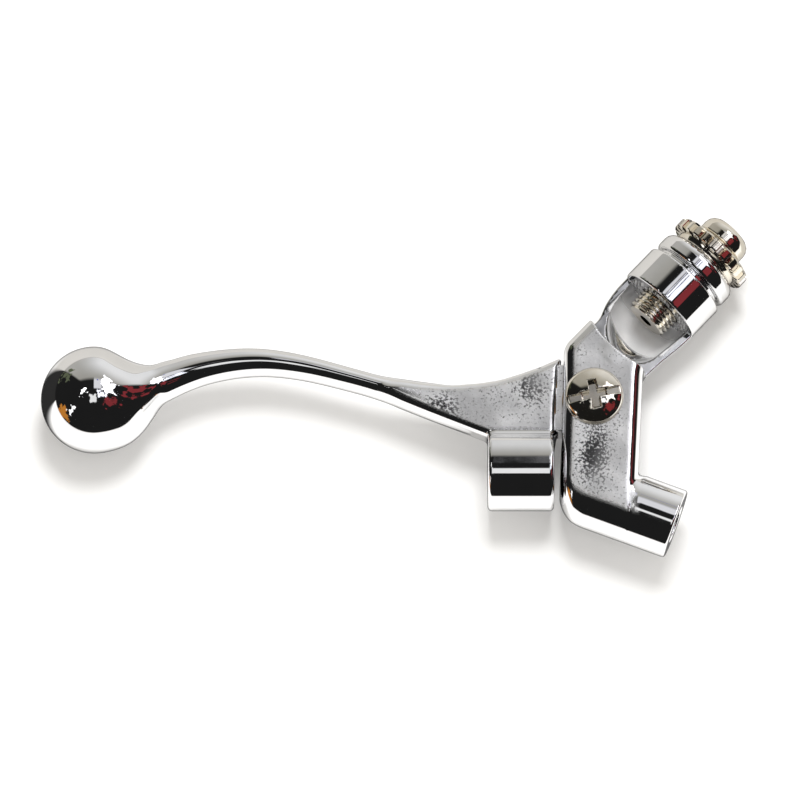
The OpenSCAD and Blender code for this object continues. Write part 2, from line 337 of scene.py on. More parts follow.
def lever_distance(x, y, z):
    """The whole lever: arm, web, boss and hub, less the bush's bore and the nipple's pocket."""
    web = plate(outline_distance(x, y, WEB), z, HALF_WEB, WEB_EDGE_R)
    solid = fillet_min(arm_distance(x, y, z), web, ARM_FILLET_R)
    boss = np.hypot(y - BOSS_AT[1], z) - BOSS_R
    boss = edge_max(boss, np.abs(x - BOSS_AT[0]) - BOSS_HALF, BOSS_EDGE_R)
    solid = fillet_min(solid, boss, BOSS_FILLET_R)
    hub = plate(np.hypot(x, y) - HUB_R, z, HALF_HUB, HUB_EDGE_R)
    hub = np.minimum(hub, plate(outline_distance(x, y, TANG), z, HALF_HUB, HUB_EDGE_R))
    solid = np.minimum(solid, hub)
    solid = edge_max(solid, BUSH_R - np.hypot(x, y), 0.2)
    return edge_max(solid, -pocket_distance(x, y, z), 0.25)


def flatness(normals):
    """One where a surface faces along Z, fading to zero as it turns away."""
    return np.clip((np.abs(normals[:, 2]) - 0.93) / 0.06, 0, 1)


def patch(p, x, y, half_x, half_y):
    """One at a place in the XY plane, fading out round it as an oval."""
    return np.exp(-((p[:, 0] - x) / half_x) ** 2 - ((p[:, 1] - y) / half_y) ** 2)


def make_lever(finish):
    """The lever's casting, left as cast on its web and more pitted in two patches there."""
    low, high = (from_pivot(corner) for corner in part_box("lever"))
    p, normals, quads = net(lever_distance, low, high, NET_STEP)
    obj = piece("lever_casting", p, quads, "lever", "lever", finish, normals)
    web = np.clip((p[:, 0] + 44) / 9, 0, 1) * np.clip((p[:, 1] + 7) / 1.5, 0, 1)
    mark(obj, "cast", flatness(normals) * web)
    mark(obj, "pits", patch(p, -33, -1.5, 5, 3) + 0.7 * patch(p, -13, 4, 3, 4))


# ---------------------------------------------------------------- perch body

EDGE_R = 2.9                       # rounding of the flat part's long edges
CORNER_LIFT = 2.0                  # how far the bottom edge rises at the lower-left corner
CORNER_AT = -2.5                   # where it starts to rise, along X
CORNER_RUN = 5.5                   # and how far on it has risen all the way
SPIGOT_EDGE_R = 0.5
BAR_LEN = 12.5                     # from the spigot's end face to the far end of its bar
BAR_END_R = 3.5
BAR_FILLET_R = 1.2
# The flat part between spigot and stem: x, y, corner radius
BODY = outline([
    (-7.9, -33.0, 0.5), (-6.45, 3.4, 30), (-6.4, 11.6, 4.5), (-0.5, 17.8, 1), (3.0, 20.2, 0.5),
    (13.6, 10.3, 0.5), (10.9, 7.6, 1.0), (10.5, 5.2, 8), (9.3, -18.4, 1), (9.4, -35.0, 0.5)
])
BARREL_R = 9.65
BARREL_LEN = 8.1
WINDOW_LEN = 14.9
TROUGH_RIM_Z = -0.6
TROUGH_WALL = 1.65
WINDOW_BOW = 45                    # the window's end wall bows by its width squared over this
TROUGH_SHORT = 1.2                 # the trough ends this far short of the wall above it
TROUGH_END_R = 4.0
STEM_ROOT = 3                      # the stem's length inside the body
STEM_EDGE_R = 0.45
STEM_FILLET_R = 0.8
# The stem's outside, cut across at s from the barrel's inner end: radius, and offset of its middle
STEM = [
    (-20, 7.3, -0.7), (-15, 7.65, -0.7), (-12, 7.95, -0.65), (-8, 8.8, -0.1), (-4.5, 9.4, 0.05),
    (0, BARREL_R, 0), (3, BARREL_R, 0), (6, BARREL_R, 0)
]
STEM_R = spline([r[0] for r in STEM], [r[1] for r in STEM])
STEM_SHIFT = spline([r[0] for r in STEM], [r[2] for r in STEM])
BORE_R = 4.95
WIRE_R = 1.6
TAPPED_R = 4.0                     # hole in the spigot's end
TAPPED_LEN = 12.0
SCREW_R = 3.0
HEAD_R = 6.35
SPOT_FACE = 0.6                    # depth of the flat under the lock washer
SLOT_GAP = 0.4                     # room round the lever's hub
SLOT_END = 9.3                     # the slot's wall towards the window, along the stem
SLOT_CORNER = 30                   # reach of the opening at the upper-left corner
SLOT_LEFT = 20                     # reach of the opening to the left
SLOT_LEFT_TOP = 5                  # and its top, above the pivot


def lever_slot_distance(x, y, z):
    """The slot between the ears, open to the left and at the upper-left corner."""
    swing = np.hypot(x, y) - HUB_R - SLOT_GAP
    u, v = x * STEM_DIR[0] + y * STEM_DIR[1], y * STEM_DIR[0] - x * STEM_DIR[1]
    corner = np.maximum(np.maximum(-HUB_R - u, u - SLOT_END), np.maximum(-v, v - SLOT_CORNER))
    side = np.maximum(np.maximum(-SLOT_LEFT - x, x), np.maximum(-HUB_R - y, y - SLOT_LEFT_TOP))
    return np.maximum(np.minimum(np.minimum(swing, corner), side), np.abs(z) - HALF_SLOT)


def perch_blank_distance(x, y, z):
    """The casting before its slot, window and holes are cut.

    Below the spigot's axis the flat part is as round as the spigot. There its surface lies close
    to the bar's, so the fillet between them only opens up above the axis."""
    s, n = along_spigot(x, y)
    lift = CORNER_LIFT * np.clip((CORNER_AT - x) / CORNER_RUN, 0, 1) ** 2
    bottom = np.hypot(np.minimum(n - lift, 0) * HALF_BODY / SPIGOT_R, z) - HALF_BODY
    flat = edge_max(outline_distance(x, y, BODY), bottom, EDGE_R)
    bar = edge_max(np.hypot(n, z) - SPIGOT_R, s, SPIGOT_EDGE_R)
    bar = edge_max(bar, -BAR_LEN - s, BAR_END_R)
    solid = fillet_min(flat, bar, 0.02 + BAR_FILLET_R * np.clip((n + 1) / 3, 0, 1))
    s, n = along_stem(x, y)
    stem = np.hypot(n - STEM_SHIFT(s), z) - STEM_R(s)
    ends = np.maximum(s - BARREL_LEN, -WINDOW_LEN - STEM_ROOT - s)
    return fillet_min(solid, edge_max(stem, ends, STEM_EDGE_R), STEM_FILLET_R)


def window_distance(x, y, z):
    """The open window in the stem: everything above its rims, and the trough below them."""
    s, n = along_stem(x, y)
    inside = np.hypot(n - STEM_SHIFT(s), z) - STEM_R(s) + TROUGH_WALL
    end = n ** 2 / WINDOW_BOW - WINDOW_LEN - s
    trough = edge_max(inside, end + TROUGH_SHORT, TROUGH_END_R)
    above = np.maximum(TROUGH_RIM_Z - z, end)
    return np.maximum(np.minimum(trough, above), s)


def perch_distance(x, y, z):
    """The whole casting, with the edges of its cuts eased."""
    solid = perch_blank_distance(x, y, z)
    solid = edge_max(solid, -window_distance(x, y, z), 0.4)
    solid = edge_max(solid, -lever_slot_distance(x, y, z), 0.3)
    solid = edge_max(solid, SCREW_R + FIT - np.hypot(x, y), 0.2)
    spot = np.maximum(np.hypot(x, y) - HEAD_R + 0.1, z + HALF_BODY - SPOT_FACE)
    solid = edge_max(solid, -spot, 0.15)
    s, n = along_stem(x, y)
    off_axis = np.hypot(n, z)
    bore = np.maximum(off_axis - BORE_R, -s - 0.5)
    wire = np.maximum(off_axis - WIRE_R, s + 1)
    solid = edge_max(solid, -np.minimum(bore, wire), 0.35)
    s, n = along_spigot(x, y)
    tapped = np.maximum(np.hypot(n, z) - TAPPED_R, -s - TAPPED_LEN)
    return edge_max(solid, -tapped, 0.35)


def make_perch(finish):
    """The perch's casting, left as cast on its flats and scattering in the window's trough."""
    low, high = (from_pivot(corner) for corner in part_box("perch_body"))
    p, normals, quads = net(perch_distance, low, high, NET_STEP)
    obj = piece("perch_casting", p, quads, "perch", "perch_body", finish, normals)
    s, n = along_stem(p[:, 0], p[:, 1])
    flat = flatness(normals) * np.clip((9.5 - p[:, 0]) / 2, 0, 1) * (s < -WINDOW_LEN)
    inside = np.clip((BARREL_R - 1.4 - np.hypot(n, p[:, 2])) / 0.5, 0, 1)
    trough = inside * np.clip((s + 10.2 - n ** 2 / 30) / 0.8, 0, 1) * (s < 0)
    mark(obj, "cast", np.maximum(flat, trough))
    mark(obj, "bright", trough)
    mark(obj, "pits", 1.2 * patch(p, 0, -13, 3.1, 5.8) - 2 * trough)


# ---------------------------------------------------------------- turned and screwed parts

def axis_frame(at, direction):
    """Two side vectors and the direction, with the point they start from."""
    d = np.array(direction, float)
    d /= np.linalg.norm(d)
    side = np.cross((0, 0, 1), d) if abs(d[2]) < 0.9 else np.array((1.0, 0, 0))
    side /= np.linalg.norm(side)
    return np.array(at, float), side, np.cross(d, side), d


def turned(profile, axes, turns=96):
    """Points and faces of a closed profile of (place, radius) turned about an axis.

    A radius may be a function of the angle."""
    at, side, up, d = axes
    angles = np.arange(turns) * 2 * math.pi / turns
    ring = np.cos(angles)[:, None] * side + np.sin(angles)[:, None] * up
    rows = []
    for place, r in profile:
        radius = r(angles) if callable(r) else np.full(turns, float(r))
        rows.append(at + place * d + radius[:, None] * ring)
    return np.concatenate(rows), tube_faces(len(rows), turns)


def tube_faces(rows, turns):
    """Faces of rows of points round an axis, the last row joined to the first."""
    i, k = np.meshgrid(np.arange(rows), np.arange(turns), indexing="ij")
    j, m = (i + 1) % rows, (k + 1) % turns
    faces = np.stack([i * turns + k, i * turns + m, j * turns + m, j * turns + k], -1)
    return faces.reshape(-1, 4)


def eased(corners):
    """A closed profile with each corner (place, radius, rounding) eased, edged by close rows
    so that flats stay flat when shaded."""
    arcs = outline(corners, 5).reshape(len(corners), 5, 2)
    rows = []
    for arc, after in zip(arcs, np.roll(arcs, -1, 0)):
        rows += list(arc)
        run = after[0] - arc[-1]
        length = np.linalg.norm(run)
        if length > 0.12:
            rows += [arc[-1] + run * 0.04 / length, after[0] - run * 0.04 / length]
    return [tuple(row) for row in rows]


def thread_tube(axes, start, end, crest, root, pitch, inner, turns=72, rows=8):
    """A closed tube whose outer face is a helical thread that fades out at both ends."""
    at, side, up, d = axes
    angles = np.arange(turns) * 2 * math.pi / turns
    ring = np.cos(angles)[:, None] * side + np.sin(angles)[:, None] * up
    rings = []
    for place in np.arange(start, end + 1e-9, pitch / rows):
        phase = (place / pitch - angles / (2 * math.pi)) % 1
        tooth = np.clip(1.25 - np.abs(phase - 0.5) * 4, 0, 1)
        fade = np.clip(min(place - start, end - place) / (0.6 * pitch), 0, 1)
        radius = root + (crest - root) * tooth * fade
        rings.append(at + place * d + radius[:, None] * ring)
    rings += [at + place * d + inner * ring for place in (end, start)]
    return np.concatenate(rings), tube_faces(len(rings), turns)


def merged(*shapes):
    """Several (points, faces) as one."""
    starts = np.cumsum([0] + [len(p) for p, _ in shapes])
    faces = [f + start for (_, f), start in zip(shapes, starts)]
    return np.concatenate([p for p, _ in shapes]), np.concatenate(faces)


STEM_AXES = axis_frame(STEM_AT, STEM_DIR)
THREAD_R = 4.9
THREAD_PITCH = 1.0
THREAD_END = -4.4
RING_R = 9.35
RING_START = BARREL_LEN + FIT      # places along the stem, from the barrel's inner end
RING_NECK = 1.1
RING_END = 13.55
HEAD_START = 14.9
HEAD_END = 18.0
KNURLS = 22
NOSE_R = 5.6
SOCKET_R = 2.6
SOCKET_FLOOR = HEAD_END - 4
FERRULE_END = HEAD_END - 5.5       # inner end of the ferrule's stem, and of its seat
FERRULE_R = 3.3
CORE_R = 3.9                       # the adjuster's core, inside its thread
CORE_END = RING_END - 4


def make_lock_ring(finish):
    """Lock ring: a short neck against the barrel, then a polished band with a round outer edge."""
    neck_r, bore = RING_R - 1.7, THREAD_R + FIT
    neck_end = RING_START + RING_NECK
    profile = eased([
        (RING_START, bore, 0.3), (RING_START, neck_r, 0.3), (neck_end, neck_r, 0.3),
        (neck_end, RING_R, 0.8), (RING_END, RING_R, 1.9), (RING_END, bore, 0.4)
    ])
    p, faces = turned(profile, STEM_AXES)
    piece("lock_ring_polished", p, faces, "lock_ring", "lock_ring", finish)


def knurled(outer, depth):
    """Radius round the knurled head: square-topped teeth with round-bottomed gaps."""
    def radius(angles):
        tooth = np.clip((np.abs(np.cos(angles * KNURLS / 2)) - 0.45) / 0.35, 0, 1)
        return outer - depth * (1 - tooth * tooth * (3 - 2 * tooth))
    return radius


def make_adjuster(finish):
    """Adjuster: a knurled head on a collar, with the ferrule's seat in it, on a threaded tube."""
    seat_r, step_r, head_r = FERRULE_R + FIT, RING_R - 1.9, RING_R + 0.2
    profile = [
        (FERRULE_END, WIRE_R), (FERRULE_END, seat_r), (HEAD_END - 0.3, seat_r),
        (HEAD_END, seat_r + 0.3), (HEAD_END, head_r - 2.4), (HEAD_END - 0.05, head_r - 2.1),
        (HEAD_END - 0.25, knurled(head_r - 0.75, 0.8)), (HEAD_END - 0.5, knurled(head_r - 0.2, 1.2)),
        (HEAD_END - 0.8, knurled(head_r, 1.35)), (HEAD_END - 0.9, knurled(head_r, 1.35)),
        (HEAD_START + 0.6, knurled(head_r, 1.35)), (HEAD_START + 0.5, knurled(head_r, 1.35)),
        (HEAD_START + 0.2, knurled(head_r - 0.2, 1.2)), (HEAD_START, knurled(head_r - 0.6, 0.9)),
        (HEAD_START - 0.05, head_r - 1.9), (HEAD_START - 0.05, step_r + 0.2),
        (RING_END + FIT + 0.3, step_r), (RING_END + FIT, step_r - 0.3), (RING_END + FIT, CORE_R),
        (CORE_END, CORE_R), (CORE_END, WIRE_R)
    ]
    head = turned(profile[::-1], STEM_AXES, turns=KNURLS * 14)
    shank = thread_tube(STEM_AXES, THREAD_END, RING_END + FIT, THREAD_R, 4.3, THREAD_PITCH, WIRE_R)
    p, faces = merged(head, shank)
    piece("adjuster_knurled", p, faces, "adjuster", "adjuster_screw", finish)


def make_ferrule(finish):
    """Ferrule: a stem in the adjuster's head, and a round nose with the casing's socket."""
    profile = eased([
        (FERRULE_END, WIRE_R, 0.1), (FERRULE_END, FERRULE_R, 0.3), (HEAD_END + 0.02, FERRULE_R, 0.05),
        (HEAD_END + 0.02, NOSE_R - 0.6, 0.3), (HEAD_END + 0.7, NOSE_R - 0.6, 0.2),
        (HEAD_END + 1.0, NOSE_R, 0.5), (NOSE_END, NOSE_R, 2.4), (NOSE_END, SOCKET_R, 0.35),
        (SOCKET_FLOOR, SOCKET_R, 0.1), (SOCKET_FLOOR, WIRE_R, 0.1)
    ])
    p, faces = turned(profile, STEM_AXES)
    piece("ferrule_polished", p, faces, "casing_end", "casing_ferrule", finish)


def make_spigot_thread(finish):
    """The thread cut in the spigot's tapped hole."""
    axes = axis_frame(SPIGOT_END, -SPIGOT_DIR)
    p, faces = thread_tube(axes, start=1.0, end=TAPPED_LEN - 0.5, crest=3.45, root=3.98,
                           pitch=1.25, inner=TAPPED_R + 0.12)
    piece("spigot_thread", p, faces[:, ::-1], "perch", None, finish)


HEAD_H = 2.8
DOME_R = 11.0
NUT_H = 3.2
NUT_HALF = 5.0
LOCK_T = 0.7
LOCK_R = 5.5
DRIVE_TURN = math.radians(12)      # how the head's slot and cross are turned
DRIVE_SLOT_HALF = 0.72
DRIVE_SLOT_FLOOR = 1.1             # both floors are heights above the head's seat
CROSS_HALF = 0.85
CROSS_REACH = 3.3
CROSS_FLOOR = 0.5


def screw_distance(x, y, z):
    """Pan-head screw with a slot and a cross recess, and a threaded end."""
    up = z - HALF_BODY
    off_axis = np.hypot(x, y)
    dome = np.sqrt(x ** 2 + y ** 2 + (up - HEAD_H + DOME_R) ** 2) - DOME_R
    head = edge_max(np.maximum(off_axis - HEAD_R, -up), dome, 0.8)
    cos, sin = math.cos(DRIVE_TURN), math.sin(DRIVE_TURN)
    u, v = x * cos + y * sin, y * cos - x * sin
    slot = np.maximum(np.abs(v) - DRIVE_SLOT_HALF, DRIVE_SLOT_FLOOR - up)
    taper = 0.35 * (HEAD_H - up)
    wing = np.minimum(
        np.maximum(np.abs(u) - CROSS_HALF, np.abs(v) - CROSS_REACH + taper),
        np.maximum(np.abs(v) - CROSS_HALF, np.abs(u) - CROSS_REACH + taper))
    cross = np.maximum(wing, CROSS_FLOOR - up)
    head = edge_max(head, -np.minimum(slot, cross), 0.22)
    end = -HALF_BODY - NUT_H
    phase = (z - np.arctan2(y, x) / (2 * math.pi)) % 1
    groove = 0.3 * np.clip(np.abs(phase - 0.5) * 4 - 0.75, 0, 1) * (z < -HALF_BODY + 1.5)
    shank = edge_max(off_axis - SCREW_R + groove, np.maximum(end - z, z - HALF_BODY - 0.5), 0.4)
    return np.minimum(head, shank)


def make_screw(finish):
    """Pivot screw, meshed finely enough for its recess."""
    low, high = (from_pivot(corner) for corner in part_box("pivot_screw"))
    p, normals, quads = net(screw_distance, low, high, 0.17)
    piece("screw_combination_head", p, quads, "perch", "pivot_screw", finish, normals)


def nut_distance(x, y, z):
    """Thin hexagon nut with its corners turned down on both faces."""
    top = -HALF_BODY + SPOT_FACE - LOCK_T
    turns = [math.radians(a) for a in (30, 90, 150)]
    flats = [np.abs(x * math.cos(a) + y * math.sin(a)) - NUT_HALF for a in turns]
    hexagon = np.maximum(np.maximum(flats[0], flats[1]), flats[2])
    off_axis = np.hypot(x, y)
    middle = np.abs(z - top + NUT_H / 2)
    corner = (off_axis - NUT_HALF - 0.15) * 0.5 + (middle - NUT_H / 2) * 0.866
    solid = edge_max(hexagon, middle - NUT_H / 2, 0.12)
    solid = edge_max(solid, corner, 0.12)
    return edge_max(solid, SCREW_R + FIT - off_axis, 0.3)


def make_nut(finish):
    """Nut at the back, which covers the end of the screw's thread."""
    low, high = (from_pivot(corner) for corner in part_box("pivot_nut"))
    p, normals, quads = net(nut_distance, low, high, 0.2)
    piece("nut_chamfered", p, quads, "perch", "pivot_nut", finish, normals)


def lock_washer_distance(x, y, z):
    """Spring washer, split by a slanted cut."""
    middle = z + HALF_BODY - SPOT_FACE + LOCK_T / 2
    off_axis = np.hypot(x, y)
    ring = edge_max(off_axis - LOCK_R, np.abs(middle) - LOCK_T / 2, 0.15)
    ring = edge_max(ring, SCREW_R + FIT - off_axis, 0.1)
    split = np.maximum(np.abs(x - middle) - 0.35, y)
    return np.maximum(ring, -split)


def make_lock_washer(finish):
    """Spring washer between the nut and the spot face."""
    low, high = (from_pivot(corner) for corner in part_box("nut_lock_washer"))
    p, normals, quads = net(lock_washer_distance, low, high, 0.15)
    piece("spring_washer", p, quads, "perch", "nut_lock_washer", finish, normals)


# ---------------------------------------------------------------- materials

class Graph:
    """Adds nodes to a tree and hands back their output sockets, so a material reads as sums."""

    def __init__(self, tree):
        self.tree = tree
        tree.nodes.clear()

    def add(self, kind, *inputs, out=0, **settings):
        node = self.tree.nodes.new(kind)
        for key, value in settings.items():
            setattr(node, key, value)
        for i, value in enumerate(inputs):
            self.put(node.inputs[i], value)
        return node.outputs[out]

    def put(self, socket, value):
        if isinstance(value, bpy.types.NodeSocket):
            self.tree.links.new(value, socket)
        elif value is not None:
            socket.default_value = value

    def math(self, operation, *values):
        return self.add("ShaderNodeMath", *values, operation=operation)

    def ramp(self, value, low, high, first=0.0, last=1.0):
        """Smooth step from first to last as value goes from low to high."""
        return self.add(
            "ShaderNodeMapRange", value, low, high, first, last, interpolation_type="SMOOTHSTEP")

    def mix(self, share, a, b):
        node = self.tree.nodes.new("ShaderNodeMix")
        node.data_type = "RGBA"
        self.put(node.inputs["Factor"], share)
        self.put(node.inputs[6], a)
        self.put(node.inputs[7], b)
        return node.outputs[2]

    def noise(self, where, scale, detail=2.0, roughness=0.5):
        node = self.tree.nodes.new("ShaderNodeTexNoise")
        self.put(node.inputs["Vector"], where)
        node.inputs["Scale"].default_value = scale
        node.inputs["Detail"].default_value = detail
        node.inputs["Roughness"].default_value = roughness
        return node.outputs["Fac"]

    def surface(self, shader):
        output = self.tree.nodes.new("ShaderNodeOutputMaterial")
        self.tree.links.new(shader, output.inputs["Surface"])


def cast_skin(g, where, grain, colour, roughness, height):
    """Adds the pitted, frosted skin of a casting, where the mesh is marked as cast.

    Returns the new colour, roughness and height, and the share of the surface that scatters
    instead of mirroring."""
    cast = g.add("ShaderNodeAttribute", out=2, attribute_name="cast")
    pits = g.add("ShaderNodeAttribute", out=2, attribute_name="pits")
    bright = g.add("ShaderNodeAttribute", out=2, attribute_name="bright")
    skin = g.add("ShaderNodeTexVoronoi", where, out=0)
    skin.node.inputs["Scale"].default_value = 1100.0
    pebbles = g.math("MULTIPLY_ADD", skin, 0.8, g.noise(where, 1500.0, 3.0, 0.6))
    height = g.math("MULTIPLY_ADD", g.math("MULTIPLY", pebbles, cast), grain, height)
    spread = g.math("MULTIPLY_ADD", g.noise(where, 130.0, 1.0), 0.22, -0.05)
    dense = g.math("MULTIPLY_ADD", pits, 0.23, spread)
    fine = g.math("ADD", g.noise(where, 1700.0, 3.0, 0.7), dense)
    spots = g.math("MULTIPLY", g.ramp(fine, 0.64, 0.74), cast)
    colour = g.mix(spots, colour, (0.06, 0.06, 0.062, 1))
    roughness = g.math("MULTIPLY_ADD", cast, 0.32, roughness)
    frosted = g.math("MULTIPLY_ADD", bright, 0.45, g.math("MULTIPLY", cast, 0.27))
    cloudy = g.ramp(g.noise(where, 95.0, 2.0), 0.35, 0.65, 0.0, 0.65)
    cloudy = g.math("MULTIPLY", cloudy, g.math("SUBTRACT", cast, bright))
    colour = g.mix(cloudy, colour, (0.45, 0.45, 0.455, 1))
    return colour, roughness, height, frosted


def metal(name, light, dark, gloss, rough, grain=0.0, peel=0.0, lines=0.0):
    """Plated or turned metal.

    light and dark are the ends of its slight change in tint, gloss and rough the ends of its
    roughness. grain is the cast skin's height in micrometres, peel the plating's long ripple,
    and lines the turning marks."""
    material = bpy.data.materials.new(name)
    material.use_nodes = True
    g = Graph(material.node_tree)
    where = g.add("ShaderNodeTexCoord", out=3)
    patches = g.ramp(g.noise(where, 180.0, 3.0), 0.35, 0.7)
    specks = g.ramp(g.noise(where, 2600.0, 2.0), 0.55, 0.75)
    colour = g.mix(patches, light, dark)
    wear = g.math("MULTIPLY_ADD", specks, 0.35, patches)
    roughness = g.ramp(wear, 0.0, 1.3, gloss, rough)
    height = g.math("MULTIPLY", g.noise(where, 210.0, 1.0), peel)
    frosted = 0.0
    if grain:
        colour, roughness, height, frosted = cast_skin(g, where, grain, colour, roughness, height)
    if lines:
        turning = g.noise(g.add("ShaderNodeVectorMath", where, (60.0, 60.0, 6000.0),
                                operation="MULTIPLY"), 1.0, 2.0)
        height = g.math("MULTIPLY_ADD", turning, lines, height)
    bump = g.tree.nodes.new("ShaderNodeBump")
    bump.inputs["Strength"].default_value = 1.0
    bump.inputs["Distance"].default_value = 1e-6
    g.put(bump.inputs["Height"], height)
    shader = g.tree.nodes.new("ShaderNodeBsdfPrincipled")
    g.put(shader.inputs["Metallic"], g.math("SUBTRACT", 1.0, frosted))
    g.put(shader.inputs["Base Color"], colour)
    g.put(shader.inputs["Roughness"], roughness)
    g.put(shader.inputs["Normal"], bump.outputs["Normal"])
    # Painted shade: a dark diffuse rim is mixed in where a surface is seen at a grazing angle, standing in for the
    # dark limbs that round chrome shows in a dark room
    edge = g.ramp(g.add("ShaderNodeLayerWeight", 0.5, out=1), 0.70, 0.92, 0.0, 0.85)
    painted_limb_shade = g.add("ShaderNodeBsdfDiffuse", (0.05, 0.05, 0.055, 1))
    g.surface(g.add("ShaderNodeMixShader", edge, shader.outputs["BSDF"], painted_limb_shade))
    return material


def make_materials():
    """The finishes by name. The two chromes differ only in the cast skin under them."""
    return {
        "chrome": metal("chrome", (0.93, 0.93, 0.935, 1), (0.88, 0.885, 0.895, 1), 0.02, 0.06,
                        grain=26.0, peel=6.0),
        "ring": metal("ring_chrome", (0.93, 0.93, 0.935, 1), (0.87, 0.875, 0.885, 1), 0.02, 0.06,
                      peel=4.0),
        "nickel": metal("nickel", (0.90, 0.86, 0.77, 1), (0.78, 0.71, 0.59, 1), 0.05, 0.16,
                        peel=4.0),
        "zinc": metal("zinc", (0.72, 0.73, 0.74, 1), (0.60, 0.62, 0.65, 1), 0.22, 0.42, peel=4.0),
        "bronze": metal("bronze", (0.72, 0.50, 0.28, 1), (0.58, 0.37, 0.18, 1), 0.28, 0.5,
                        peel=2.0, lines=2.0),
    }


# ---------------------------------------------------------------- stage

def towards(azimuth, elevation):
    """Unit vector for an azimuth from +X towards +Y and an elevation, in degrees."""
    a, e = math.radians(azimuth), math.radians(elevation)
    return (math.cos(a) * math.cos(e), math.sin(a) * math.cos(e), math.sin(e))


# Patches of the studio that the metal mirrors: azimuth, elevation, radius, soft rim, colour
PATCHES = [
    (14, 24, 9, 1, (0.22, 0.03, 0.035)), (-22, 50, 10, 1, (0.22, 0.03, 0.035)),
    (141, 13, 9, 3, (0.10, 0.115, 0.07)), (205, 4, 12, 2, (0.50, 0.19, 0.03)),
    (52, 58, 3, 1, (0.04, 0.06, 0.45)), (34, 51, 15, 1, (2.2, 2.2, 2.3)),
    (4, 72, 7, 1, (1.2, 1.22, 1.35)), (172, 65, 3, 1, (2.0, 2.0, 2.0)),
    (-148, 31, 1, 1, (1.4, 1.4, 1.4))
]


def axes_of(g, vector):
    """The three parts of a vector socket."""
    split = g.tree.nodes.new("ShaderNodeSeparateXYZ")
    g.put(split.inputs[0], vector)
    return split.outputs


def wavy(g, ray):
    """The ray's direction, bent unevenly so that what it meets gets a ragged outline."""
    wobble = g.add("ShaderNodeTexNoise", ray, out=1)
    wobble.node.inputs["Scale"].default_value = 6.0
    wobble.node.inputs["Detail"].default_value = 3.0
    bent = g.add("ShaderNodeVectorMath", wobble, (0.2, 0.2, 0.2), ray, operation="MULTIPLY_ADD")
    return g.add("ShaderNodeVectorMath", bent, (0.1, 0.1, 0.1), operation="SUBTRACT")


def patch_share(g, direction, azimuth, elevation, radius, soft):
    """One inside a round patch of the studio, and zero outside its soft rim."""
    dot = g.tree.nodes.new("ShaderNodeVectorMath")
    dot.operation = "DOT_PRODUCT"
    g.put(dot.inputs[0], direction)
    dot.inputs[1].default_value = towards(azimuth, elevation)
    outer = math.cos(math.radians(radius + soft))
    inner = math.cos(math.radians(radius))
    return g.ramp(dot.outputs["Value"], outer, inner)


def studio(g, ray):
    """What the metal mirrors: a dark room with a back wall, two pale panels and the patches."""
    dx, dy, dz = axes_of(g, ray)
    # Angle from the zenith in the YZ plane, towards +Y positive
    tilt = g.math("ARCTAN2", dy, g.math("MAXIMUM", dz, 0.0001))
    colour = (0.012, 0.012, 0.012, 1)

    # Back wall, darker to the left and high up
    above = g.ramp(dz, -0.04, 0.0)
    aside = g.math("MAXIMUM", g.math("MULTIPLY", dx, 0.577), g.math("MULTIPLY", dx, -1.0))
    far = g.ramp(g.math("SUBTRACT", dy, aside), -0.05, 0.06)
    backdrop = g.math("MULTIPLY", g.ramp(tilt, 0.48, 0.66), g.math("MULTIPLY", far, above))
    wall = g.mix(g.ramp(dx, -0.5, 0.3), (0.42, 0.41, 0.385, 1), (0.80, 0.80, 0.80, 1))
    wall = g.mix(g.ramp(tilt, 0.5, 1.35), (0.33, 0.32, 0.29, 1), wall)
    colour = g.mix(backdrop, colour, wall)

    # Upright strip to the right, in front of the wall's edge
    side = g.math("MULTIPLY", g.ramp(dx, 0.012, 0.035), g.ramp(dx, 0.40, 0.30))
    side = g.math("MULTIPLY", side, g.ramp(tilt, 0.15, 0.22))
    side = g.math("MULTIPLY", side, g.math("SUBTRACT", 1.0, backdrop))
    colour = g.mix(side, colour, (0.72, 0.72, 0.75, 1))

    # Lit panel overhead, a little towards the viewer
    bent = wavy(g, ray)
    ex, ey, ez = axes_of(g, bent)
    lean = g.math("ARCTAN2", ey, g.math("MAXIMUM", ez, 0.0001))
    overhead = g.math("MULTIPLY", g.ramp(lean, -0.36, -0.33), g.ramp(lean, -0.04, -0.07))
    overhead = g.math("MULTIPLY", overhead, g.ramp(g.math("ABSOLUTE", ex), 0.15, 0.12))
    colour = g.mix(overhead, colour, (0.85, 0.85, 0.85, 1))

    for azimuth, elevation, radius, soft, shade in PATCHES:
        share = patch_share(g, bent, azimuth, elevation, radius, soft)
        colour = g.mix(share, colour, (*shade, 1))
    return colour


def make_world():
    """Plain pale to the camera, and the studio to reflections."""
    world = bpy.data.worlds.new("studio")
    bpy.context.scene.world = world
    world.use_nodes = True
    world.cycles.sampling_method = "NONE"
    g = Graph(world.node_tree)
    colour = studio(g, g.add("ShaderNodeTexCoord", out=0))
    path = g.tree.nodes.new("ShaderNodeLightPath")
    colour = g.mix(path.outputs["Is Glossy Ray"], (0.87, 0.85, 0.82, 1), colour)
    colour = g.mix(path.outputs["Is Camera Ray"], colour, (1.0, 1.0, 1.0, 1))
    background = g.tree.nodes.new("ShaderNodeBackground")
    g.put(background.inputs["Color"], colour)
    output = g.tree.nodes.new("ShaderNodeOutputWorld")
    g.tree.links.new(background.outputs[0], output.inputs["Surface"])


